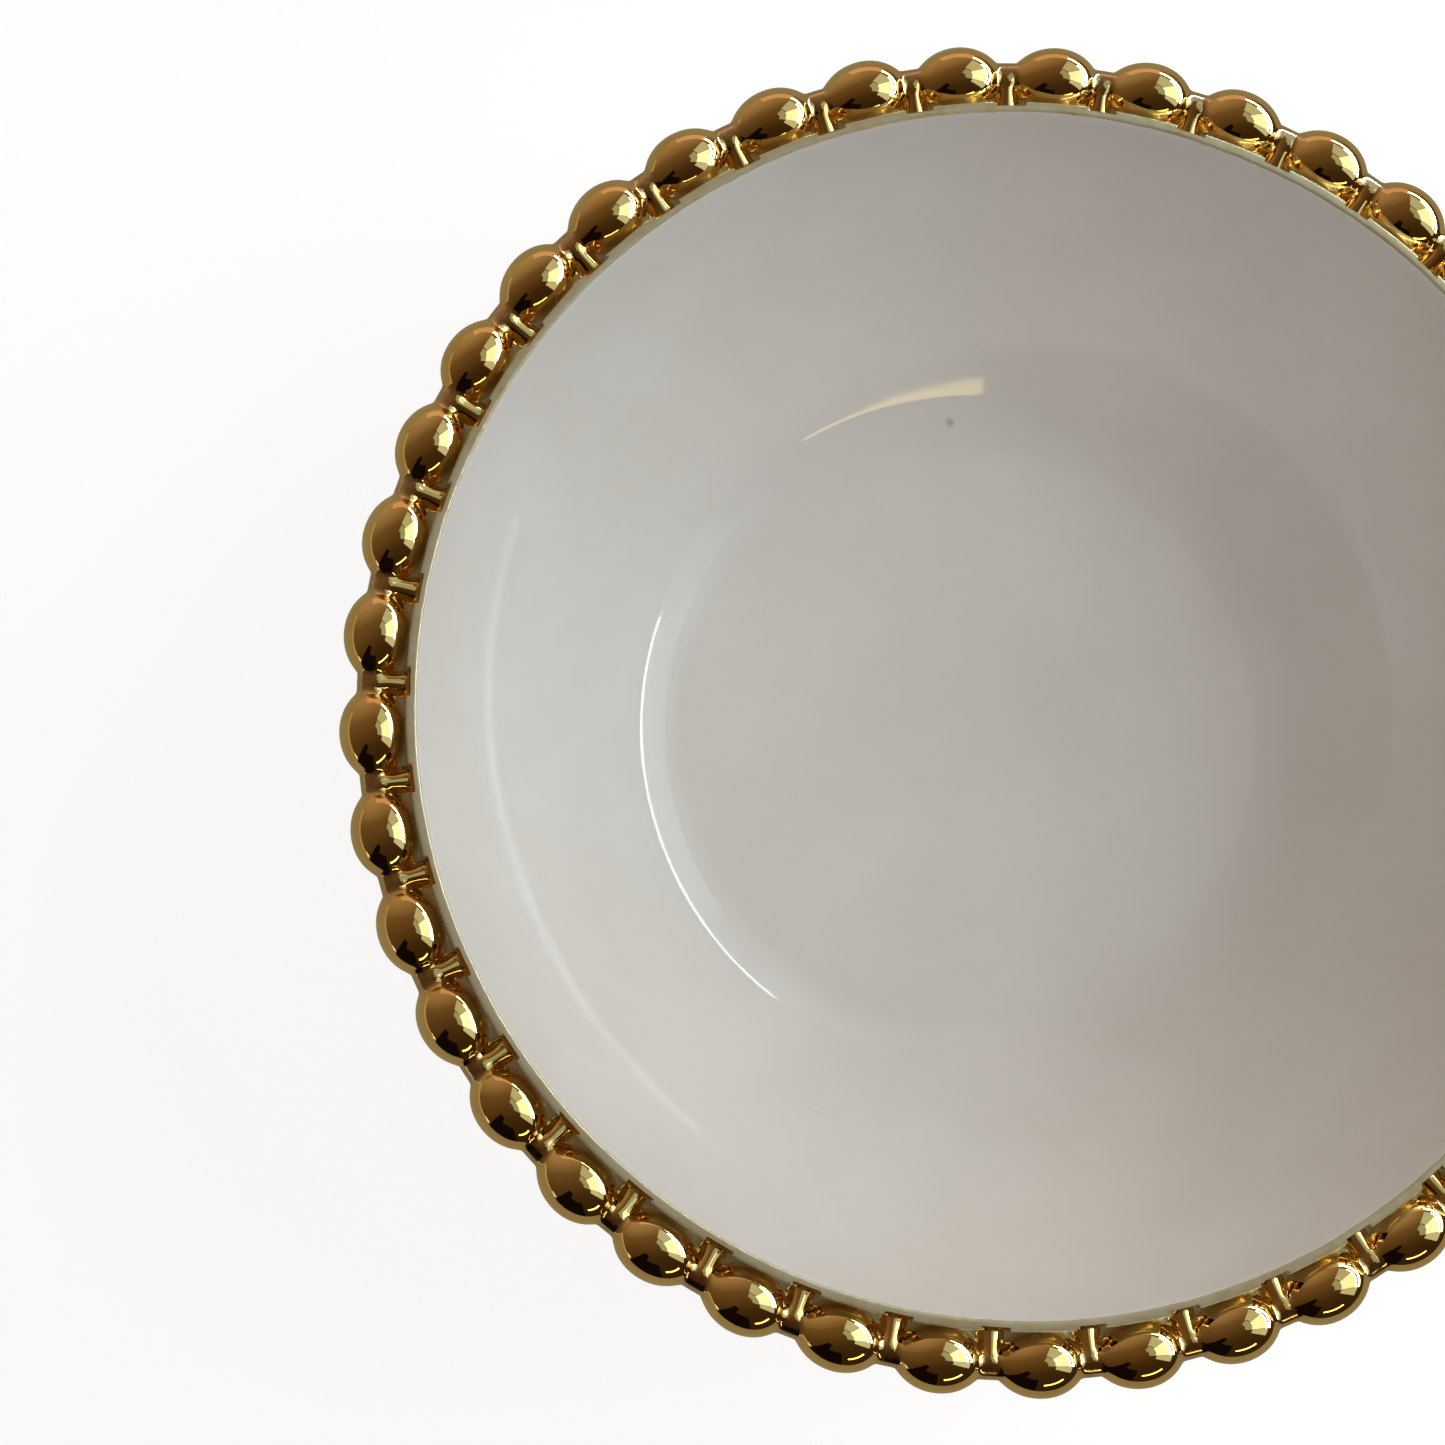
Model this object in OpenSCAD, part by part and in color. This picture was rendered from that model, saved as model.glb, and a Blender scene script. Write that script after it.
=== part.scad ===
// Porcelain serving bowl with a gilded rim and a string of round beads.
// Millimetres, +Z up. The origin is the middle of the bowl on the surface it stands on.
// A cup-shaped porcelain body carries three thin coats of white glaze and a luted-on foot ring.
// Around its lip sits a gilded rim band, whose radial ribs reach out to the necks between the beads.

/* [Bowl] */
// Overall diameter, measured over the beads
outer_d = 254; // [215:1:305]
// Overall height, from the standing edge to the top of the beads
height = 78; // [66:1:100]
// Thickness of the wall, glaze coats included
wall = 4.6; // [3.6:0.1:5.6]
// Thickness of the floor, glaze coats included
floor_t = 6; // [4.8:0.1:8]
// Thickness of each glaze coat
glaze_t = 0.4; // [0.3:0.05:0.6]
// Radius of the curve between the floor and the wall
corner_r = 18; // [12:0.5:24]
// Angle of the wall from the horizontal where it leaves the corner curve
wall_low_angle = 40; // [36:1:46]
// Angle of the wall from the horizontal at the rim
wall_top_angle = 74; // [68:1:78]

/* [Foot] */
// Height that the foot ring lifts the underside of the bowl
foot_h = 6; // [4:0.5:9]
// Distance from the edge of the flat floor in to the middle of the foot ring
foot_inset = 1.5; // [0.5:0.1:2.4]
// Width of the flat standing edge
foot_edge = 2.6; // [2:0.1:3.4]
// Width of the foot ring where it meets the bowl
foot_root = 6; // [5.4:0.1:8]
// Depth of the seat that the foot ring is luted into
foot_seat = 0.8; // [0.5:0.1:1.2]

/* [Beads] */
// Number of beads in the string
bead_count = 41; // [39:1:43]
// Diameter of a bead, measured towards the middle of the bowl
bead_d = 12.6; // [10.5:0.1:13]
// Length of a bead, measured along the rim
bead_len = 14; // [11.6:0.1:14.6]
// Diameter of the neck between two beads
neck_d = 5.8; // [4.8:0.1:6.6]
// Angle of the first bead from the +X axis
bead_start = 7.3; // [0:0.1:8.7]

/* [Rim] */
// Distance from the bead circle in to the edge of the gold
gold_inset = 8.4; // [8:0.1:9.4]
// Height of the edge of the gold above the middle of the beads
gold_rise = 5.2; // [4:0.1:5.6]
// Width of the gilded lip across its top
lip_w = 2; // [1.6:0.1:2.4]
// Thickness of the upstand that the rim band is seated on, from the inside of the bowl
upstand_t = 2.4; // [1.8:0.1:2.8]
// Depth that the gilding runs down the outside, below the middle of the beads
gold_drop = 6; // [5:0.1:9]
// Width of a rib where it meets a neck
rib_w = 3.4; // [2.6:0.1:3.8]
// Width of a rib where it flares into the lip
rib_flare_w = 5.2; // [4:0.1:6]
// Clearance between a bead and the cradle it lies in
seat_gap = 0.05; // [0.05:0.01:0.2]

/* [Hidden] */
bead_names = [for (i = [1 : bead_count]) str(i < 10 ? "bead_0" : "bead_", i)];

turned_fn = 180;
arc_steps = 12;
crest_steps = 8;
bead_steps = 20;
wedge_spare = 2;

// The bead string
bead_r = bead_d / 2;
neck_r = neck_d / 2;
bead_ring_r = outer_d / 2 - bead_r;
bead_z = height - bead_r;
bead_pitch = 360 / bead_count;
half_pitch_len = bead_ring_r * tan(bead_pitch / 2);
neck_reach = (bead_ring_r + neck_r) * tan(bead_pitch / 2);
neck_blend = 3;

// The inside of the bowl: a flat floor, a corner arc and a wall arc that runs up to the gold
gold_r = bead_ring_r - gold_inset;
gold_z = bead_z + gold_rise;
floor_z = foot_h + floor_t;
wall_arc_r = (gold_z - floor_z - corner_r * (1 - cos(wall_low_angle)))
    / (cos(wall_low_angle) - cos(wall_top_angle));
floor_r = gold_r - corner_r * sin(wall_low_angle)
    - wall_arc_r * (sin(wall_top_angle) - sin(wall_low_angle));
corner_z = floor_z + corner_r;
wall_arc_x = floor_r + (corner_r - wall_arc_r) * sin(wall_low_angle);
wall_arc_z = corner_z + (wall_arc_r - corner_r) * cos(wall_low_angle);

// The foot ring and its seat
foot_r = floor_r - foot_inset;
foot_in_r = foot_r - foot_root / 2;
foot_out_r = foot_r + foot_root / 2;
foot_seat_z = floor_z - wall + foot_seat;
foot_skirt_z = foot_h - foot_seat;
foot_chamfer = 0.5;

// The rim band: its foot on the wall, its seat on the upstand, its crest and its cradle
band_foot_z = bead_z - gold_drop;
upstand_z = bead_z - 1.5;
crest_h = 0.8;
cradle_r = bead_r + seat_gap;
cradle_angle = 40;
rib_rise = 0.6;

// Radius at height z of a skin that lies t outside the inner surface of the wall
function skin_r(t, z) = wall_arc_x + sqrt(pow(wall_arc_r + t, 2) - pow(wall_arc_z - z, 2));

// Angle along the wall arc at height z, for the same skin
function skin_angle(t, z) = acos((wall_arc_z - z) / (wall_arc_r + t));

// Outline of that skin, from radius low_r on the corner arc up to height top_z
function skin(t, low_r, top_z) =
    let (
        low_angle = asin((low_r - floor_r) / (corner_r + t)),
        top_angle = skin_angle(t, top_z)
    )
    concat(
        [for (i = [0 : arc_steps])
            let (a = low_angle + (wall_low_angle - low_angle) * i / arc_steps)
            [floor_r + (corner_r + t) * sin(a), corner_z - (corner_r + t) * cos(a)]],
        [for (i = [1 : arc_steps])
            let (a = wall_low_angle + (top_angle - wall_low_angle) * i / arc_steps)
            [wall_arc_x + (wall_arc_r + t) * sin(a), wall_arc_z - (wall_arc_r + t) * cos(a)]]);

// Stretch of a skin between two heights on the wall arc
function wall_stretch(t, low_z, top_z, steps) =
    [for (i = [0 : steps])
        let (z = low_z + (top_z - low_z) * i / steps)
        [skin_r(t, z), z]];

function reversed(points) = [for (i = [len(points) - 1 : -1 : 0]) points[i]];

// Half outline of a bead: a barrel that eases into the neck at each end
function barrel_r(turn) =
    pow((pow(bead_r, neck_blend) - pow(neck_r, neck_blend)) * pow(cos(turn), neck_blend)
        + pow(neck_r, neck_blend), 1 / neck_blend);

module turned() {
    rotate_extrude($fn = turned_fn)
        children();
}

module at_rim(angle) {
    rotate([0, 0, angle])
        translate([bead_ring_r, 0, bead_z])
            children();
}

// One bead with half a neck at each end, cut off halfway to its neighbours
module bead_solid() {
    intersection() {
        rotate([90, 0, 0])
            turned()
                polygon(concat(
                    [[0, -neck_reach], [neck_r, -neck_reach]],
                    [for (i = [0 : bead_steps])
                        let (turn = -90 + 180 * i / bead_steps)
                        [barrel_r(turn), bead_len / 2 * sin(turn)]],
                    [[neck_r, neck_reach], [0, neck_reach]]));
        translate([-bead_ring_r, 0, -bead_r - wedge_spare / 2])
            linear_extrude(bead_d + wedge_spare)
                polygon([
                    [0, 0],
                    [outer_d, -outer_d * tan(bead_pitch / 2)],
                    [outer_d, outer_d * tan(bead_pitch / 2)]]);
    }
}

module bead(number) {
    color("goldenrod")
        at_rim(bead_start + (number - 1) * bead_pitch)
            bead_solid();
}

// The rib between two beads, a flared round bar from inside the lip out to the neck
module rib() {
    rib_reach = gold_inset - lip_w * 0.4;
    difference() {
        translate([bead_ring_r - rib_reach, 0, bead_z + rib_rise])
            rotate([0, 90, 0])
                cylinder(h = rib_reach, d1 = rib_flare_w, d2 = rib_w, $fn = turned_fn);
        for (side = [-1, 1])
            rotate([0, 0, side * bead_pitch / 2])
                translate([bead_ring_r, 0, bead_z])
                    rotate([90, 0, 0])
                        cylinder(h = 2 * half_pitch_len, r = neck_r, center = true, $fn = turned_fn);
    }
}

// Porcelain cup between the glaze coats, with a thin upstand that carries the rim band
module bowl_body() {
    color("whitesmoke")
        turned()
            polygon(concat(
                [[0, floor_z - glaze_t]],
                skin(glaze_t, floor_r, upstand_z),
                [[skin_r(upstand_t, upstand_z), upstand_z]],
                [[skin_r(upstand_t, band_foot_z), band_foot_z]],
                reversed(skin(wall - glaze_t, foot_out_r, band_foot_z)),
                [[foot_out_r, foot_seat_z], [foot_in_r, foot_seat_z]],
                [[foot_in_r, foot_h + glaze_t], [0, foot_h + glaze_t]]));
}

// White glaze inside the bowl, from the floor up to the edge of the gold
module inner_glaze() {
    color("white")
        turned()
            polygon(concat(
                [[0, floor_z]],
                skin(0, floor_r, upstand_z),
                wall_stretch(0, upstand_z, gold_z, 2),
                reversed(wall_stretch(glaze_t, upstand_z, gold_z, 2)),
                reversed(skin(glaze_t, floor_r, upstand_z)),
                [[0, floor_z - glaze_t]]));
}

// White glaze outside, from the foot ring up to the gilding
module outer_glaze() {
    color("white")
        turned()
            polygon(concat(
                skin(wall - glaze_t, foot_out_r, band_foot_z),
                reversed(skin(wall, foot_out_r, band_foot_z))));
}

// White glaze under the floor, inside the foot ring
module base_glaze() {
    color("white")
        translate([0, 0, foot_h])
            cylinder(h = glaze_t, r = foot_in_r, $fn = turned_fn);
}

// Foot ring, seated in the underside and tapered to a narrow standing edge
module foot_ring() {
    color("linen")
        turned()
            polygon([
                [foot_in_r, foot_seat_z],
                [foot_out_r, foot_seat_z],
                [foot_out_r, foot_skirt_z],
                [foot_r + foot_edge / 2 + foot_chamfer, foot_chamfer],
                [foot_r + foot_edge / 2, 0],
                [foot_r - foot_edge / 2, 0],
                [foot_r - foot_edge / 2 - foot_chamfer, foot_chamfer],
                [foot_in_r, foot_skirt_z]]);
}

// Gilded lip that wraps the upstand, with a cradle along the beads' inner side
module rim_band() {
    color("gold") {
        turned()
            polygon(concat(
                [[skin_r(upstand_t, band_foot_z), band_foot_z]],
                [[skin_r(upstand_t, upstand_z), upstand_z]],
                wall_stretch(glaze_t, upstand_z, gold_z, 2),
                [for (i = [0 : crest_steps])
                    let (a = 180 * i / crest_steps)
                    [gold_r + lip_w / 2 * (1 - cos(a)), gold_z + crest_h * sin(a)]],
                [[bead_ring_r - cradle_r, bead_z - cradle_r * tan(cradle_angle / 2)],
                    [bead_ring_r - cradle_r * cos(cradle_angle),
                        bead_z - cradle_r * sin(cradle_angle)],
                    [skin_r(wall, band_foot_z), band_foot_z]]));
        for (i = [0 : bead_count - 1])
            rotate([0, 0, bead_start + (i + 0.5) * bead_pitch])
                rib();
    }
}

bowl_body();
inner_glaze();
outer_glaze();
base_glaze();
foot_ring();
rim_band();
for (i = [1 : bead_count])
    bead(i);
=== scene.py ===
import math

import bmesh
import bpy
import numpy as np
from mathutils import Matrix, Vector


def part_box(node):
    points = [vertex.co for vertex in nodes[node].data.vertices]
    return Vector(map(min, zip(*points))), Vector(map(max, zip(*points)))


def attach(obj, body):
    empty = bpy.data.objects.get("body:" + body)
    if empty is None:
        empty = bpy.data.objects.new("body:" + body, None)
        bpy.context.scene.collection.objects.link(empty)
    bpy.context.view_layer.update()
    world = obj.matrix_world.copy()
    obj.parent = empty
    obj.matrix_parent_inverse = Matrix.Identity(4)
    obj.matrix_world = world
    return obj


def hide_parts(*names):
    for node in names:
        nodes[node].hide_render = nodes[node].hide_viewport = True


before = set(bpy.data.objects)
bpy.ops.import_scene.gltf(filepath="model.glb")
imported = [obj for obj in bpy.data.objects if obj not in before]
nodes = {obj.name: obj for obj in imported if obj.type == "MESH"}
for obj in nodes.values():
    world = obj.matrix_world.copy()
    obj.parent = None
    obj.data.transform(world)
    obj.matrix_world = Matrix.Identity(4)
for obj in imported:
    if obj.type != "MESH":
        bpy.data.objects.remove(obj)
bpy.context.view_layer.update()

mm = 0.001
print("frame loaded:", len(nodes), "nodes")


# Sizes read off the frame
def nodePoints(name):
    return np.array([v.co for v in nodes[name].data.vertices])


def reach(points):
    return np.hypot(points[:, 0], points[:, 1])


beadNames = sorted(n for n in nodes if n.startswith("bead_"))
firstBead = nodePoints("bead_01")
beadLow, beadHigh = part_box("bead_01")
beadR = (beadHigh.z - beadLow.z) / 2
beadZ = (beadHigh.z + beadLow.z) / 2
ringR = reach(firstBead).max() - beadR
beadTurn = 2 * math.pi / len(beadNames)
beadStart = math.atan2(firstBead[:, 1].mean(), firstBead[:, 0].mean())

insidePoints = nodePoints("inner_glaze")
goldZ = insidePoints[:, 2].max()
goldR = reach(insidePoints[insidePoints[:, 2] > goldZ - 0.01 * mm]).min()
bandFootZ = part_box("rim_band")[0].z
baseZ, glazeTop = (corner.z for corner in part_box("base_glaze"))
glazeT = glazeTop - baseZ
floorZ = insidePoints[:, 2].min() + glazeT
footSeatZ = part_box("foot_ring")[1].z
footPoints = nodePoints("foot_ring")
footInR = reach(footPoints).min()
footOutR = reach(footPoints).max()

wallShape = {
    "cornerR": 18 * mm,      # curve between the floor and the wall
    "lowAngle": 40,          # degrees, where the wall leaves that curve
    "topAngle": 74,          # degrees, at the gold
    "thick": 4.6 * mm,       # glaze coats included
    "upstandT": 2.4 * mm,    # what is left of it under the gold
    "seatDown": 1.5 * mm,    # from the bead line to the top of the upstand
    "cornerSteps": 22,
    "wallSteps": 40,
    "segments": 328,         # round the bowl
}
lowAngle = math.radians(wallShape["lowAngle"])
topAngle = math.radians(wallShape["topAngle"])
cornerR = wallShape["cornerR"]
wallR = ((goldZ - floorZ - cornerR * (1 - math.cos(lowAngle)))
         / (math.cos(lowAngle) - math.cos(topAngle)))
floorR = (goldR - cornerR * math.sin(lowAngle)
          - wallR * (math.sin(topAngle) - math.sin(lowAngle)))
wallX = floorR + (cornerR - wallR) * math.sin(lowAngle)
wallZ = floorZ + cornerR + (wallR - cornerR) * math.cos(lowAngle)
seatZ = beadZ - wallShape["seatDown"]


# Radius at height z of the skin that lies so far outside the inner surface
def skinR(outward, z):
    return wallX + math.sqrt((wallR + outward) ** 2 - (wallZ - z) ** 2)


# That skin's outline, from a radius on the corner curve up to a height
def skinLine(outward, fromR, toZ):
    line = []
    first = math.asin((fromR - floorR) / (cornerR + outward))
    last = math.acos((wallZ - toZ) / (wallR + outward))
    for a in np.linspace(first, lowAngle, wallShape["cornerSteps"] + 1):
        line.append((floorR + (cornerR + outward) * math.sin(a),
                     floorZ + cornerR - (cornerR + outward) * math.cos(a)))
    for a in np.linspace(lowAngle, last, wallShape["wallSteps"] + 1)[1:]:
        line.append((wallX + (wallR + outward) * math.sin(a),
                     wallZ - (wallR + outward) * math.cos(a)))
    return line


# Materials
def newMaterial(name):
    made = bpy.data.materials.new(name)
    made.use_nodes = True
    return made, made.node_tree.nodes, made.node_tree.links, made.node_tree.nodes["Principled BSDF"]


def noiseOf(tree, links, source, scale, detail=3.0, roughness=0.55):
    noise = tree.new("ShaderNodeTexNoise")
    noise.inputs["Scale"].default_value = scale
    noise.inputs["Detail"].default_value = detail
    noise.inputs["Roughness"].default_value = roughness
    links.new(source, noise.inputs["Vector"])
    return noise.outputs["Fac"]


def rampOf(tree, links, source, stops):
    ramp = tree.new("ShaderNodeValToRGB")
    for end in (0, -1):
        ramp.color_ramp.elements[end].position = stops[end][0]
        ramp.color_ramp.elements[end].color = (*stops[end][1], 1)
    for place, colour in stops[1:-1]:
        ramp.color_ramp.elements.new(place).color = (*colour, 1)
    links.new(source, ramp.inputs["Fac"])
    return ramp.outputs["Color"]


def rangeOf(tree, links, source, fromLow, fromHigh, toLow, toHigh):
    change = tree.new("ShaderNodeMapRange")
    change.inputs["From Min"].default_value = fromLow
    change.inputs["From Max"].default_value = fromHigh
    change.inputs["To Min"].default_value = toLow
    change.inputs["To Max"].default_value = toHigh
    links.new(source, change.inputs["Value"])
    return change.outputs["Result"]


def sumOf(tree, links, kind, first, second):
    step = tree.new("ShaderNodeMath")
    step.operation = kind
    for socket, value in zip(step.inputs, (first, second)):
        if isinstance(value, (int, float)):
            socket.default_value = value
        else:
            links.new(value, socket)
    return step.outputs["Value"]


def bumpOf(tree, links, source, strength, distance, under=None):
    bump = tree.new("ShaderNodeBump")
    bump.inputs["Strength"].default_value = strength
    bump.inputs["Distance"].default_value = distance
    links.new(source, bump.inputs["Height"])
    if under is not None:
        links.new(under, bump.inputs["Normal"])
    return bump.outputs["Normal"]


def mixOf(tree, links, factor, first, second):
    mix = tree.new("ShaderNodeMix")
    mix.data_type = "RGBA"
    links.new(factor, mix.inputs[0])
    for socket, value in ((mix.inputs[6], first), (mix.inputs[7], second)):
        if isinstance(value, tuple):
            socket.default_value = (*value, 1)
        else:
            links.new(value, socket)
    return mix.outputs[2]


glazeLook = {
    "pale": (0.815, 0.80, 0.775),    # where the glaze lies thick
    "deep": (0.775, 0.755, 0.725),   # where it has run thin
    "speck": (0.36, 0.31, 0.26),     # iron specks in the clay
    "speckSize": 0.045,              # of the spacing between them
    "rough": 0.07,
    "ripple": 0.35 * mm,             # depth of the long waves in the coat
}


def glazeMaterial(name, speckScale):
    made, tree, links, shader = newMaterial(name)
    spot = tree.new("ShaderNodeTexCoord").outputs["Object"]
    cloud = noiseOf(tree, links, spot, 26, 3)
    coat = rampOf(tree, links, cloud, [(0.35, glazeLook["deep"]), (0.65, glazeLook["pale"])])
    specks = tree.new("ShaderNodeTexVoronoi")
    specks.inputs["Scale"].default_value = speckScale
    links.new(spot, specks.inputs["Vector"])
    near = rangeOf(tree, links, specks.outputs["Distance"],
                   glazeLook["speckSize"], glazeLook["speckSize"] * 0.35, 0, 0.55)
    parts = tree.new("ShaderNodeSeparateColor")
    links.new(specks.outputs["Color"], parts.inputs["Color"])
    chosen = rangeOf(tree, links, parts.outputs["Red"], 0.80, 0.82, 0, 1)
    speckMask = sumOf(tree, links, "MULTIPLY", near, chosen)
    links.new(mixOf(tree, links, speckMask, coat, glazeLook["speck"]), shader.inputs["Base Color"])
    streaks = noiseOf(tree, links, spot, 90, 4)
    smooth, dull = glazeLook["rough"] * 0.75, glazeLook["rough"] * 1.3
    links.new(rangeOf(tree, links, streaks, 0.3, 0.7, smooth, dull), shader.inputs["Roughness"])
    wave = bumpOf(tree, links, noiseOf(tree, links, spot, 22, 1.5), 0.5, glazeLook["ripple"])
    peel = bumpOf(tree, links, noiseOf(tree, links, spot, 420, 2), 0.12, 0.05 * mm, wave)
    links.new(peel, shader.inputs["Normal"])
    shader.inputs["IOR"].default_value = 1.52
    return made


clayLook = {"pale": (0.74, 0.70, 0.63), "deep": (0.63, 0.585, 0.51), "rough": 0.78}


# Bare fired clay, sandy to the touch
def clayMaterial(name):
    made, tree, links, shader = newMaterial(name)
    spot = tree.new("ShaderNodeTexCoord").outputs["Object"]
    cloud = noiseOf(tree, links, spot, 180, 6, 0.7)
    links.new(rampOf(tree, links, cloud, [(0.3, clayLook["deep"]), (0.62, clayLook["pale"])]),
              shader.inputs["Base Color"])
    grain = noiseOf(tree, links, spot, 2200, 3, 0.7)
    links.new(rangeOf(tree, links, grain, 0.3, 0.7, clayLook["rough"] - 0.1, clayLook["rough"] + 0.1),
              shader.inputs["Roughness"])
    links.new(bumpOf(tree, links, grain, 0.5, 0.12 * mm), shader.inputs["Normal"])
    return made


goldLook = {
    "bright": (0.93, 0.68, 0.30),
    "warm": (0.87, 0.58, 0.22),
    "outerNeck": (0.55, 0.41, 0.31),      # darker, greyer gold on the outer side of the necks
    "thin": (0.57, 0.53, 0.36),     # lip, where one thin coat shows the glaze
    "moat": (0.46, 0.39, 0.19),      # the same coat towards the bead, darker: painted shade down in the moat
    "rough": 0.035,
    "outerNeckRough": 0.22,
    "thinRough": 0.24,
}


# Fraction of a bead's pitch away from the middle of the nearest bead, 0 to 0.5
def pitchPlace(tree, links, spot):
    parts = tree.new("ShaderNodeSeparateXYZ")
    links.new(spot, parts.inputs["Vector"])
    angle = sumOf(tree, links, "ARCTAN2", parts.outputs["Y"], parts.outputs["X"])
    turned = sumOf(tree, links, "DIVIDE", sumOf(tree, links, "SUBTRACT", angle, beadStart), beadTurn)
    part = sumOf(tree, links, "FRACT", sumOf(tree, links, "ADD", turned, 100.5), 0.0)
    return sumOf(tree, links, "ABSOLUTE", sumOf(tree, links, "SUBTRACT", part, 0.5), 0.0), parts


def goldMaterial(name, hasThinLip):
    made, tree, links, shader = newMaterial(name)
    spot = tree.new("ShaderNodeTexCoord").outputs["Object"]
    place, parts = pitchPlace(tree, links, spot)
    cloud = noiseOf(tree, links, spot, 120, 4)
    gold = rampOf(tree, links, cloud, [(0.32, goldLook["warm"]), (0.62, goldLook["bright"])])
    # the outer side of the necks goes darker, greyer and rougher, broken up into streaks
    streaks = noiseOf(tree, links, spot, 900, 5, 0.75)
    neck = rangeOf(tree, links, place, 0.33, 0.45, 0, 1)
    flat = sumOf(tree, links, "SQRT", sumOf(tree, links, "ADD",
                 sumOf(tree, links, "MULTIPLY", parts.outputs["X"], parts.outputs["X"]),
                 sumOf(tree, links, "MULTIPLY", parts.outputs["Y"], parts.outputs["Y"])), 0.0)
    outer = rangeOf(tree, links, flat, ringR - 1.2 * mm, ringR + 0.6 * mm, 0, 1)
    outerNeckMask = sumOf(tree, links, "MULTIPLY", sumOf(tree, links, "MULTIPLY", neck, outer),
                 rangeOf(tree, links, streaks, 0.36, 0.6, 0.15, 0.95))
    colour = mixOf(tree, links, outerNeckMask, gold, goldLook["outerNeck"])
    rough = rangeOf(tree, links, outerNeckMask, 0, 1, goldLook["rough"], goldLook["outerNeckRough"])
    if hasThinLip:
        edge = noiseOf(tree, links, spot, 160, 3)
        lip = rangeOf(tree, links, flat, ringR - 3.3 * mm, ringR - 4.0 * mm, 0, 1)
        midRib = rangeOf(tree, links, place, 0.345, 0.365, 1, 0)
        crest = rangeOf(tree, links, flat, goldR + 1.25 * mm, goldR + 1.0 * mm, 0, 1)
        thin = sumOf(tree, links, "MULTIPLY", lip, sumOf(tree, links, "MAXIMUM", midRib, crest))
        thin = sumOf(tree, links, "MULTIPLY", thin, rangeOf(tree, links, edge, 0.3, 0.55, 0.7, 1))
        # painted shade: the lip's olive darkens from near the glaze's edge out to the bead, down into
        # the moat
        shade = rangeOf(tree, links, flat, goldR + 1.2 * mm, ringR - 4.6 * mm, 0, 1)
        shadedOlive = mixOf(tree, links, shade, goldLook["thin"], goldLook["moat"])
        colour = mixOf(tree, links, thin, colour, shadedOlive)
        rough = sumOf(tree, links, "MAXIMUM", rough,
                      rangeOf(tree, links, thin, 0, 1, goldLook["rough"], goldLook["thinRough"]))
        links.new(rangeOf(tree, links, thin, 0, 1, 1.0, 0.35), shader.inputs["Metallic"])
    else:
        shader.inputs["Metallic"].default_value = 1.0
    links.new(colour, shader.inputs["Base Color"])
    links.new(rough, shader.inputs["Roughness"])
    dents = noiseOf(tree, links, spot, 260, 2)
    links.new(bumpOf(tree, links, dents, 0.10, 0.06 * mm), shader.inputs["Normal"])
    return made


insideGlazed = glazeMaterial("glazeInside", 34)
outsideGlazed = glazeMaterial("glazeOutside", 28)
cupClay = clayMaterial("cupClay")
footClay = clayMaterial("footClay")
beadGold = goldMaterial("beadGold", False)
bandGold = goldMaterial("bandGold", True)
print("materials ready")


# Pieces
def addPiece(name, points, faces, material, node, sharpAngle):
    mesh = bpy.data.meshes.new(name)
    mesh.from_pydata(points, [], faces)
    mesh.validate()
    shell = bmesh.new()
    shell.from_mesh(mesh)
    bmesh.ops.recalc_face_normals(shell, faces=shell.faces)
    shell.to_mesh(mesh)
    shell.free()
    mesh.shade_smooth()
    mesh.set_sharp_from_angle(angle=math.radians(sharpAngle))
    mesh.materials.append(material)
    piece = bpy.data.objects.new(name, mesh)
    bpy.context.scene.collection.objects.link(piece)
    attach(piece, "root")
    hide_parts(node)
    return piece


# A closed outline of (radius, height) turned round the bowl's axis, counterclockwise seen from the side
def turnedPiece(name, outline, material, node, sharpAngle=32):
    count = wallShape["segments"]
    points, faces, rings = [], [], []
    for r, z in outline:
        if r < 1e-9:
            points.append((0, 0, z))
            rings.append([len(points) - 1] * count)
            continue
        rings.append(list(range(len(points), len(points) + count)))
        for a in np.arange(count) * 2 * math.pi / count:
            points.append((r * math.cos(a), r * math.sin(a), z))
    for k in range(len(outline)):
        here, there = rings[k], rings[(k + 1) % len(outline)]
        if here[0] == here[1] and there[0] == there[1]:
            continue
        for i in range(count):
            j = (i + 1) % count
            corners = [here[i], here[j], there[j], there[i]]
            faces.append([c for n, c in enumerate(corners) if c not in corners[:n]])
    return addPiece(name, points, faces, material, node, sharpAngle)


floorRings = [(floorR * k / 5, floorZ) for k in range(5)]
insideTop = [(skinR(0.02 * mm, goldZ - 0.03 * mm), goldZ - 0.02 * mm)]
insideOutline = (floorRings + skinLine(0, floorR, goldZ - 0.05 * mm) + insideTop
                 + list(reversed(skinLine(glazeT, floorR, goldZ))) + [(0, floorZ - glazeT)])
turnedPiece("glazeInside", insideOutline, insideGlazed, "inner_glaze")

outsideOutline = (skinLine(wallShape["thick"] - glazeT, footOutR, bandFootZ)
                  + list(reversed(skinLine(wallShape["thick"], footOutR, bandFootZ))))
turnedPiece("glazeOutside", outsideOutline[::-1], outsideGlazed, "outer_glaze")

baseOutline = [(0, glazeTop), (footInR, glazeTop), (footInR, baseZ), (footInR * 0.5, baseZ), (0, baseZ)]
turnedPiece("glazeBase", baseOutline, outsideGlazed, "base_glaze")

cupOutline = ([(0, floorZ - glazeT)] + skinLine(glazeT, floorR, seatZ)
              + [(skinR(wallShape["upstandT"], seatZ), seatZ),
                 (skinR(wallShape["upstandT"], bandFootZ), bandFootZ)]
              + list(reversed(skinLine(wallShape["thick"] - glazeT, footOutR, bandFootZ)))
              + [(footOutR, footSeatZ), (footInR, footSeatZ), (footInR, glazeTop), (0, glazeTop)])
turnedPiece("porcelainCup", cupOutline, cupClay, "bowl_body")

footShape = {
    "edge": 2.6 * mm,        # width of the standing edge
    "skirtDown": 0.8 * mm,   # straight part below the base
    "round": 0.7 * mm,       # on both sides of the standing edge
    "roundSteps": 6,
}


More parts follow.
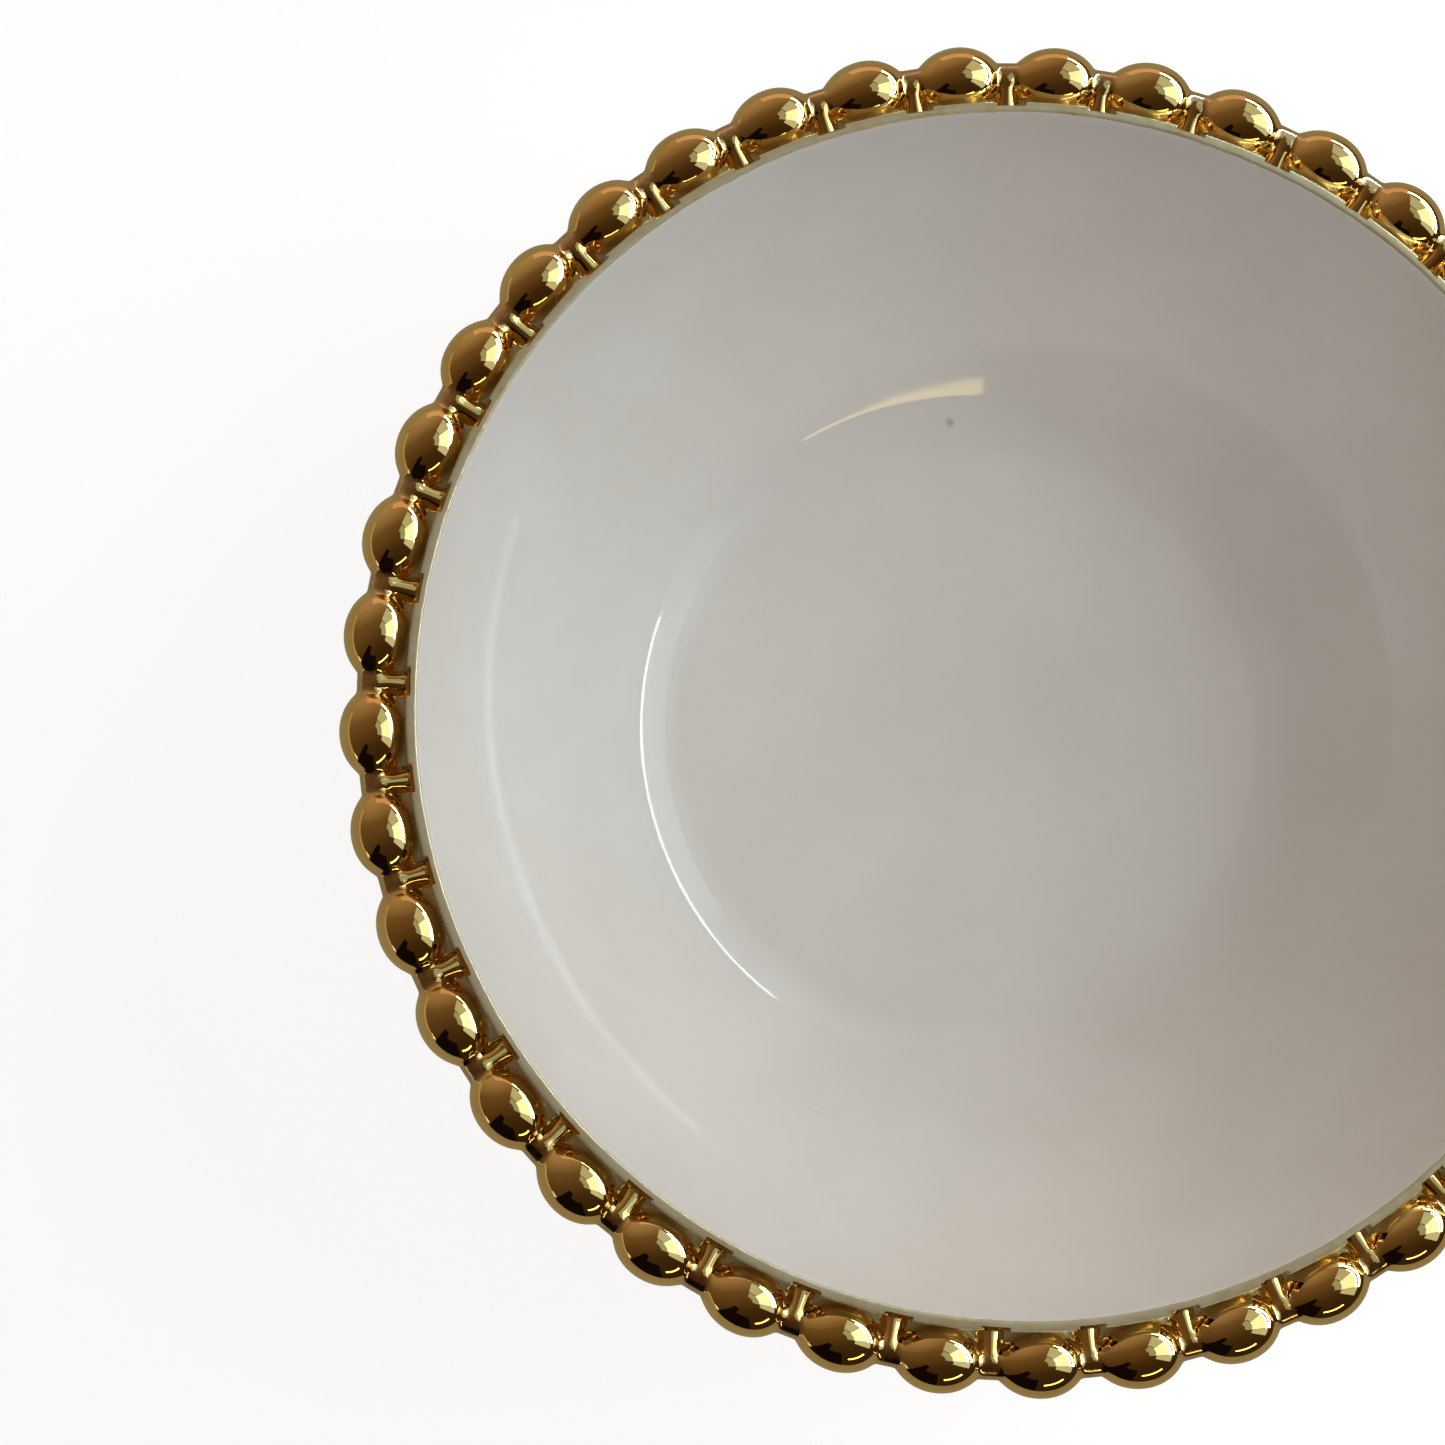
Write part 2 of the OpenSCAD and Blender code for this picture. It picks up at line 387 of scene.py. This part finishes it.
# The foot's sides run down to a rounded standing edge that is left bare
def footOutline():
    mid = (footInR + footOutR) / 2
    half = footShape["edge"] / 2 + footShape["round"] * 0.72
    skirtZ = baseZ - footShape["skirtDown"]
    line = [(footInR, footSeatZ), (footInR, skirtZ)]
    turns = np.linspace(0, math.pi / 2, footShape["roundSteps"] + 1)
    for a in turns:
        line.append((mid - half + footShape["round"] * (1 - math.cos(a)) - 0.1 * mm,
                     footShape["round"] * (1 - math.sin(a))))
    for a in turns[::-1]:
        line.append((mid + half - footShape["round"] * (1 - math.cos(a)) + 0.1 * mm,
                     footShape["round"] * (1 - math.sin(a))))
    line += [(footOutR, skirtZ), (footOutR, footSeatZ)]
    return line


turnedPiece("footRing", footOutline()[::-1], footClay, "foot_ring", 40)
print("cup, glazes and foot turned")

def smoothJoin(a, b, k):
    h = np.clip(0.5 + 0.5 * (b - a) / k, 0, 1)
    return b + (a - b) * h - k * h * (1 - h)


# The bead string
beadShape = {
    "length": 15.0 * mm,     # over which it swells out of the neck and back
    "neckR": 3.1 * mm,
    "blend": 2.7,            # how the round part eases into the neck
    "along": 46,
    "around": 48,
    "uneven": 0.012,         # largest shrink of one bead against the next
    "lean": 0.35 * mm,       # largest shift of a bead's fullest part
}
beadRandom = np.random.default_rng(41)


# Distance of the bead's skin from the bead line, s along the line from the middle of the bead
def beadGirth(s):
    neckR, blend = beadShape["neckR"], beadShape["blend"]
    fall = np.sqrt(np.clip(1 - (2 * s / beadShape["length"]) ** 2, 0, 1)) ** blend
    return ((beadR ** blend - neckR ** blend) * fall + neckR ** blend) ** (1 / blend)


def beadMesh(centreAngle, shrink, lean):
    half = ringR * beadTurn / 2
    even = np.linspace(-1, 1, beadShape["along"] + 1)
    places = half * (even + 0.10 * np.sin(2 * math.pi * even))      # denser near the necks
    turns = np.arange(beadShape["around"]) * 2 * math.pi / beadShape["around"]
    points, faces = [], []
    for s in places:
        fade = 1 - (abs(s) / half) ** 2
        girth = float(beadGirth(s - lean * fade)) * (1 - shrink * fade)
        angle = centreAngle + s / ringR
        for t in turns:
            r = ringR + girth * math.cos(t)
            points.append((r * math.cos(angle), r * math.sin(angle), beadZ + girth * math.sin(t)))
    count = beadShape["around"]
    for k in range(len(places) - 1):
        for i in range(count):
            j = (i + 1) % count
            faces.append([k * count + i, k * count + j, (k + 1) * count + j, (k + 1) * count + i])
    faces.append(list(range(count))[::-1])
    faces.append([(len(places) - 1) * count + i for i in range(count)])
    return points, [f[::-1] for f in faces]


for number, name in enumerate(beadNames):
    shrink = beadRandom.uniform(0, beadShape["uneven"])
    lean = beadRandom.uniform(-1, 1) * beadShape["lean"]
    points, faces = beadMesh(beadStart + number * beadTurn, shrink, lean)
    addPiece(name.replace("bead_", "giltBead"), points, faces, beadGold, name, 50)
print("beads strung:", len(beadNames))

# The gilded band: lip, flank and ribs flow into one another and into the beads
bandShape = {
    "lipW": 2.0 * mm,
    "crest": 0.45 * mm,          # how far the lip rounds up above the glaze's edge
    "ribNeckHalf": 1.9 * mm,     # half width of a rib at the neck
    "ribWaistHalf": 1.7 * mm, 
    "ribEndHalf": 2.5 * mm,      # where it flares at the lip
    "ribNeckTop": 3.05 * mm,     # height of its back over the bead line, at the neck
    "ribEndTop": 1.5 * mm,
    "ribDepth": 2.2 * mm,
    "blend": 0.6 * mm,           # roundness of the inside corners
    "notch": 1.45 * mm,          # a rib is let into the lip as far as this from the gold's edge
    "beadGap": 0.06 * mm,        # the band stays this far inside the beads
    "reachIn": 1.15 * mm,        # how far it goes on inside them
    "wave": 0.20 * mm,           # unevenness of the lip
    "aroundSteps": 44,           # for each bead
    "sectionSteps": 112,
    "topShare": 0.78,            # of the section steps that go to the side that shows
    "eyeIn": 7.1 * mm,           # the point that a section is measured from: in from the bead line
    "eyeDown": 1.7 * mm,         # and down from it
    "feelSteps": 34,             # small steps from there to the surface
    "feelShare": 0.9,            # of the distance left, taken in one step
}
bandRandom = np.random.default_rng(7)
eyeR, eyeZ = ringR - bandShape["eyeIn"], beadZ - bandShape["eyeDown"]


def bandOutline():
    lipW = bandShape["lipW"]
    line = [(skinR(wallShape["upstandT"], bandFootZ), bandFootZ),
            (skinR(wallShape["upstandT"], seatZ), seatZ),
            (skinR(glazeT / 2, seatZ), seatZ),
            (skinR(glazeT / 2, goldZ - 0.6 * mm), goldZ - 0.6 * mm)]
    for a in np.linspace(0, math.pi, 17):
        line.append((goldR + lipW / 2 * (1 - math.cos(a)),
                     goldZ + bandShape["crest"] * math.sin(a) ** 0.8))
    # down the outside of the lip and out along the bottom of the moat
    line += [(ringR - dr * mm, beadZ + dz * mm) for dr, dz in
             ((6.38, 2.0), (6.2, 1.1), (5.7, 0.45), (4.7, 0.05), (3.6, -0.4), (3.5, -1.4), (3.9, -2.6))]
    line += [(ringR - 4.86 * mm, beadZ - 4.08 * mm), (skinR(wallShape["thick"], bandFootZ), bandFootZ)]
    return line


# Signed distance to a closed outline, negative inside
def outlineDistance(r, z, outline):
    best = np.full(r.shape, 1e9)
    inside = np.zeros(r.shape, bool)
    for (ar, az), (br, bz) in zip(outline, outline[1:] + outline[:1]):
        er, ez = br - ar, bz - az
        t = np.clip(((r - ar) * er + (z - az) * ez) / (er * er + ez * ez), 0, 1)
        best = np.minimum(best, (r - ar - er * t) ** 2 + (z - az - ez * t) ** 2)
        if ez != 0:
            crosses = ((az > z) != (bz > z)) & (r < er * (z - az) / ez + ar)
            inside ^= crosses
    return np.where(inside, -1, 1) * np.sqrt(best)


def bandDistance(angle, r, z, outline, ribLean, ribWide):
    place = (angle - beadStart) / beadTurn
    s = (place - np.round(place)) * beadTurn * r         # from the middle of the nearest bead
    across = (place - np.floor(place) - 0.5) * beadTurn * r - ribLean    # from the middle of the rib
    wide = bandShape
    t = np.clip((r - (goldR + 1.1 * mm)) / (ringR - 1.2 * mm - (goldR + 1.1 * mm)), 0, 1)
    half = (wide["ribEndHalf"] * (1 - t) ** 2 + 2 * (wide["ribWaistHalf"] * 1.02) * t * (1 - t)
            + wide["ribNeckHalf"] * t ** 2) * ribWide
    back = wide["ribEndTop"] * (1 - t) + wide["ribNeckTop"] * t
    depth = wide["ribDepth"]
    up = (z - (beadZ + back - depth)) / depth
    size = np.sqrt((across / half) ** 2 + up ** 2) + 1e-9
    rib = (size - 1) * np.minimum(half, depth)
    rib = np.maximum(rib, goldR + 1.1 * mm - r)
    rib = np.maximum(rib, r - ringR)
    bead = np.hypot(r - ringR, z - beadZ) - beadGirth(s) + wide["beadGap"]
    slope = np.abs(beadGirth(s + 0.05 * mm) - beadGirth(s - 0.05 * mm)) / (0.1 * mm)
    bead = bead / np.sqrt(1 + slope ** 2)
    lip = outlineDistance(r, z, outline)
    core = smoothJoin(lip, rib, wide["blend"])
    notch = np.maximum(np.maximum(np.abs(across) - half, goldR + wide["notch"] - r), z - beadZ - 9 * mm)
    notch = np.maximum(notch, beadZ + back - z)
    core = -smoothJoin(-core, notch, 0.25 * mm)
    both = smoothJoin(core, bead, wide["blend"])
    return np.maximum(both, core - wide["reachIn"])


def bandMesh():
    outline = bandOutline()
    count = len(beadNames)
    stepsA, stepsB = bandShape["aroundSteps"], bandShape["sectionSteps"]
    even = np.arange(stepsA) / stepsA
    spread = even + 0.026 * np.sin(4 * math.pi * even)      # denser at the sides of the ribs
    angles = beadStart + (np.arange(count)[:, None] + spread[None, :]).ravel() * beadTurn
    # denser over the lip, the flank and the ribs than underneath
    topSteps = int(stepsB * bandShape["topShare"])
    turns = np.concatenate([np.linspace(-20, 118, topSteps, endpoint=False),
                            np.linspace(118, 340, stepsB - topSteps, endpoint=False)])
    turns = np.radians(turns)
    wander = bandRandom.uniform(0, 2 * math.pi, (2, 9))
    tides = np.array([7, 13, 29, 53, 83, 121, 167, 229, 307])
    rise = sum(np.sin(n * angles + p) / (n ** 0.35) for n, p in zip(tides, wander[0])) / 2.2
    drift = sum(np.sin(n * angles + p) / (n ** 0.35) for n, p in zip(tides, wander[1])) / 2.2
    ribLean = np.repeat(bandRandom.uniform(-0.22, 0.22, count) * mm, stepsA)
    ribWide = np.repeat(bandRandom.uniform(0.93, 1.06, count), stepsA)
    angle = np.repeat(angles[:, None], len(turns), 1)
    lean, wide = ribLean[:, None], ribWide[:, None]
    far = np.full(angle.shape, 0.3 * mm)
    for step in range(bandShape["feelSteps"]):
        r = eyeR + far * np.cos(turns)[None, :]
        z = eyeZ + far * np.sin(turns)[None, :]
        gap = bandDistance(angle, r, z, outline, lean, wide)
        far = np.maximum(far - gap * bandShape["feelShare"], 0.2 * mm)
    r = eyeR + far * np.cos(turns)[None, :]
    z = eyeZ + far * np.sin(turns)[None, :]
    nearLip = np.exp(-((r - goldR - 0.9 * mm) / (1.0 * mm)) ** 2) * (z > goldZ - 2.2 * mm)
    z = z - bandShape["wave"] * (0.5 + 0.5 * np.clip(rise, -1, 1))[:, None] * nearLip
    r = r + bandShape["wave"] * 1.3 * np.clip(drift, -1, 1)[:, None] * nearLip
    points = np.stack([r * np.cos(angle), r * np.sin(angle), z], -1).reshape(-1, 3)
    rows, cols = angle.shape
    faces = []
    for i in range(rows):
        for k in range(cols):
            a, b = i * cols + k, i * cols + (k + 1) % cols
            c, d = ((i + 1) % rows) * cols + (k + 1) % cols, ((i + 1) % rows) * cols + k
            faces.append((a, d, c, b))
    return points.tolist(), faces


points, faces = bandMesh()
addPiece("gildedBand", points, faces, bandGold, "rim_band", 60)
print("band shaped:", len(points), "points")


# Studio: a made-up room round the bowl; the camera sees it only in the gold and the glaze
def addCard(name, corners, colour, strength):
    mesh = bpy.data.meshes.new(name)
    last = len(corners) - 1
    quads = [(k, k + 1, last - k - 1, last - k) for k in range(len(corners) // 2 - 1)]
    mesh.from_pydata(corners, [], quads)
    card = bpy.data.objects.new(name, mesh)
    bpy.context.scene.collection.objects.link(card)
    material = bpy.data.materials.new(name)
    material.use_nodes = True
    tree = material.node_tree
    tree.nodes.remove(tree.nodes["Principled BSDF"])
    glow = tree.nodes.new("ShaderNodeEmission")
    glow.inputs["Color"].default_value = (*colour, 1)
    glow.inputs["Strength"].default_value = strength
    tree.links.new(glow.outputs["Emission"], tree.nodes["Material Output"].inputs["Surface"])
    mesh.materials.append(material)
    card.visible_camera = False
    card.visible_shadow = False
    card.visible_diffuse = False
    return card


# A point seen from the bowl under a compass angle and an elevation
def seenAt(compass, elevation, distance=1.5):
    a, e = math.radians(compass), math.radians(elevation)
    return (distance * math.cos(e) * math.cos(a), distance * math.cos(e) * math.sin(a),
            beadZ + distance * math.sin(e))


def patch(compass, elevation):
    (a, b), (low, high) = compass, elevation
    steps = np.linspace(0, 1, 9)
    return ([seenAt(a + (b - a) * t, low) for t in steps]
            + [seenAt(b + (a - b) * t, high) for t in steps])


studio = {
    "windowSill": {"compass": (-12, 74), "elevation": (12, 17),
                    "colour": (0.90, 1.0, 1.04), "strength": 15.0},
    "windowFoot": {"compass": (-12, 48), "elevation": (22, 26),
                    "colour": (0.90, 1.0, 1.04), "strength": 12.0},
    "windowCore": {"compass": (-10, 34), "elevation": (26, 60),
                    "colour": (0.88, 1.02, 1.05), "strength": 1.5},
    "windowHeart": {"compass": (2, 26), "elevation": (30, 58),
                    "colour": (0.88, 1.03, 1.08), "strength": 4.0},
    "windowTop": {"compass": (-12, 62), "elevation": (60, 75),
                    "colour": (0.78, 0.98, 0.80), "strength": 0.45},
    "windowLeft": {"compass": (35, 66), "elevation": (25, 58),
                    "colour": (0.86, 1.0, 0.95), "strength": 0.6},
    "windowRight": {"compass": (-28, -11), "elevation": (18, 58),
                    "colour": (0.86, 1.0, 0.95), "strength": 0.7},
    "warmWall": {"compass": (68, 112), "elevation": (3, 20),
                    "colour": (0.86, 0.58, 0.42), "strength": 0.75},
    "lampStrip": {"compass": (-82, -48), "elevation": (20, 24),
                    "colour": (1.0, 0.76, 0.24), "strength": 5.5},
    "lowLamp": {"compass": (-150, -141), "elevation": (0, 8),
                    "colour": (1.0, 0.95, 0.85), "strength": 3.0},
    "cabinet": {"compass": (-140, -92), "elevation": (-1, 42),
                    "colour": (0.05, 0.03, 0.02), "strength": 0.12},
    "post": {"compass": (-140, -122), "elevation": (42, 58),
                    "colour": (0.05, 0.03, 0.02), "strength": 0.12},
    "paleWall": {"compass": (150, 225), "elevation": (-1, 7),
                    "colour": (0.42, 0.35, 0.20), "strength": 1.0},
}
for name, card in studio.items():
    addCard(name, patch(card["compass"], card["elevation"]), card["colour"], card["strength"])


def addDome(name, radius, colour, strength):
    points, faces = [], []
    rows, cols = 12, 32
    for i in range(rows + 1):
        e = math.radians(-6 + 96 * i / rows)
        for k in range(cols):
            a = 2 * math.pi * k / cols
            points.append((radius * math.cos(e) * math.cos(a), radius * math.cos(e) * math.sin(a),
                           radius * math.sin(e)))
    for i in range(rows):
        for k in range(cols):
            j = (k + 1) % cols
            faces.append((i * cols + k, i * cols + j, (i + 1) * cols + j, (i + 1) * cols + k))
    mesh = bpy.data.meshes.new(name)
    mesh.from_pydata(points, [], faces)
    mesh.shade_smooth()
    dome = bpy.data.objects.new(name, mesh)
    bpy.context.scene.collection.objects.link(dome)
    material = bpy.data.materials.new(name)
    material.use_nodes = True
    tree, links = material.node_tree.nodes, material.node_tree.links
    tree.remove(tree["Principled BSDF"])
    parts = tree.new("ShaderNodeSeparateXYZ")
    links.new(tree.new("ShaderNodeTexCoord").outputs["Object"], parts.inputs["Vector"])
    along = sumOf(tree, links, "ADD", sumOf(tree, links, "MULTIPLY", parts.outputs["Y"], 0.9),
                  sumOf(tree, links, "MULTIPLY", parts.outputs["X"], -0.35))
    height = rangeOf(tree, links, along, -radius, radius, 0, 1)
    glow = tree.new("ShaderNodeEmission")
    links.new(rampOf(tree, links, height, colour), glow.inputs["Color"])
    glow.inputs["Strength"].default_value = strength
    links.new(glow.outputs["Emission"], tree["Material Output"].inputs["Surface"])
    mesh.materials.append(material)
    dome.visible_camera = False
    dome.visible_shadow = False
    return dome


roomColours = [(0.0, (0.03, 0.017, 0.007)), (0.3, (0.055, 0.031, 0.012)), (0.5, (0.10, 0.058, 0.022)),
               (0.72, (0.155, 0.095, 0.045)), (1.0, (0.42, 0.30, 0.18))]
addDome("room", 2.4, roomColours, 1.0)


def addFloor(name, radius, height, base, glowStrength):
    mesh = bpy.data.meshes.new(name)
    count = 64
    turns = np.arange(count) * 2 * math.pi / count
    ring = [(radius * math.cos(a), radius * math.sin(a), height) for a in turns]
    mesh.from_pydata(ring, [], [list(range(count))])
    plane = bpy.data.objects.new(name, mesh)
    bpy.context.scene.collection.objects.link(plane)
    made, tree, links, shader = newMaterial(name)
    spot = tree.new("ShaderNodeTexCoord").outputs["Object"]
    grain = noiseOf(tree, links, spot, 300, 3)
    links.new(rangeOf(tree, links, grain, 0, 1, 0.85, 0.95), shader.inputs["Roughness"])
    shader.inputs["Base Color"].default_value = (*base, 1)
    shader.inputs["Emission Color"].default_value = (1, 1, 1, 1)
    shader.inputs["Emission Strength"].default_value = glowStrength
    mesh.materials.append(made)
    return plane


paper = addFloor("paperFloor", 2.3, 0.0, (0.30, 0.30, 0.30), 0.80)      # the floor that is seen
paper.visible_glossy = False
# a darker floor just under it, for reflections only
table = addFloor("tableFloor", 2.3, -0.002, (0.29, 0.255, 0.15), 0.03)
table.visible_camera = False

# Soft lamps that light the bowl and show in no reflection
lights = {
    "daylight": {"compass": 18, "elevation": 36, "size": 1.2, "energy": 10.2,
                 "colour": (0.89, 1.02, 1.06)},
    "fill": {"compass": 50, "elevation": 19, "size": 1.0, "energy": 6.5,
                 "colour": (1.0, 0.96, 0.91)},
    "backLight": {"compass": -70, "elevation": 30, "size": 1.0, "energy": 4.2,
                 "colour": (1.0, 0.96, 0.90)},
    "overhead": {"compass": 0, "elevation": 90, "size": 2.2, "energy": 9.0,
                 "colour": (0.99, 1.0, 1.05)},
}
for name, kind in lights.items():
    lamp = bpy.data.lights.new(name, "AREA")
    lamp.shape = "DISK"
    lamp.size = kind["size"]
    lamp.energy = kind["energy"]
    lamp.color = kind["colour"]
    hung = bpy.data.objects.new(name, lamp)
    bpy.context.scene.collection.objects.link(hung)
    hung.location = seenAt(kind["compass"], kind["elevation"], 1.7)
    hung.rotation_euler = hung.location.to_track_quat("Z", "Y").to_euler()
    hung.visible_glossy = False
    hung.visible_camera = False

world = bpy.data.worlds.new("paleRoom")
world.use_nodes = True
world.node_tree.nodes["Background"].inputs["Color"].default_value = (0.94, 0.94, 0.94, 1)
world.node_tree.nodes["Background"].inputs["Strength"].default_value = 1.0
bpy.context.scene.world = world

view = {
    "fromAxis": (-0.0728, -0.0398),
    "aboveBeads": 0.3885,
    "aim": (-0.0561, -0.0038),
    "lens": 52.3,
}
lensBody = bpy.data.cameras.new("view")
lensBody.lens = view["lens"]
lensBody.clip_start = 0.01
camera = bpy.data.objects.new("view", lensBody)
bpy.context.scene.collection.objects.link(camera)
camera.location = (*view["fromAxis"], beadZ + view["aboveBeads"])
sight = (Vector((*view["aim"], beadZ)) - camera.location).normalized()
rightHand = sight.cross(Vector((0, 1, 0))).normalized()
upward = rightHand.cross(sight)
camera.rotation_euler = Matrix((rightHand, upward, -sight)).transposed().to_euler()
bpy.context.scene.camera = camera
bpy.context.scene.view_settings.view_transform = "Standard"

print("studio set")
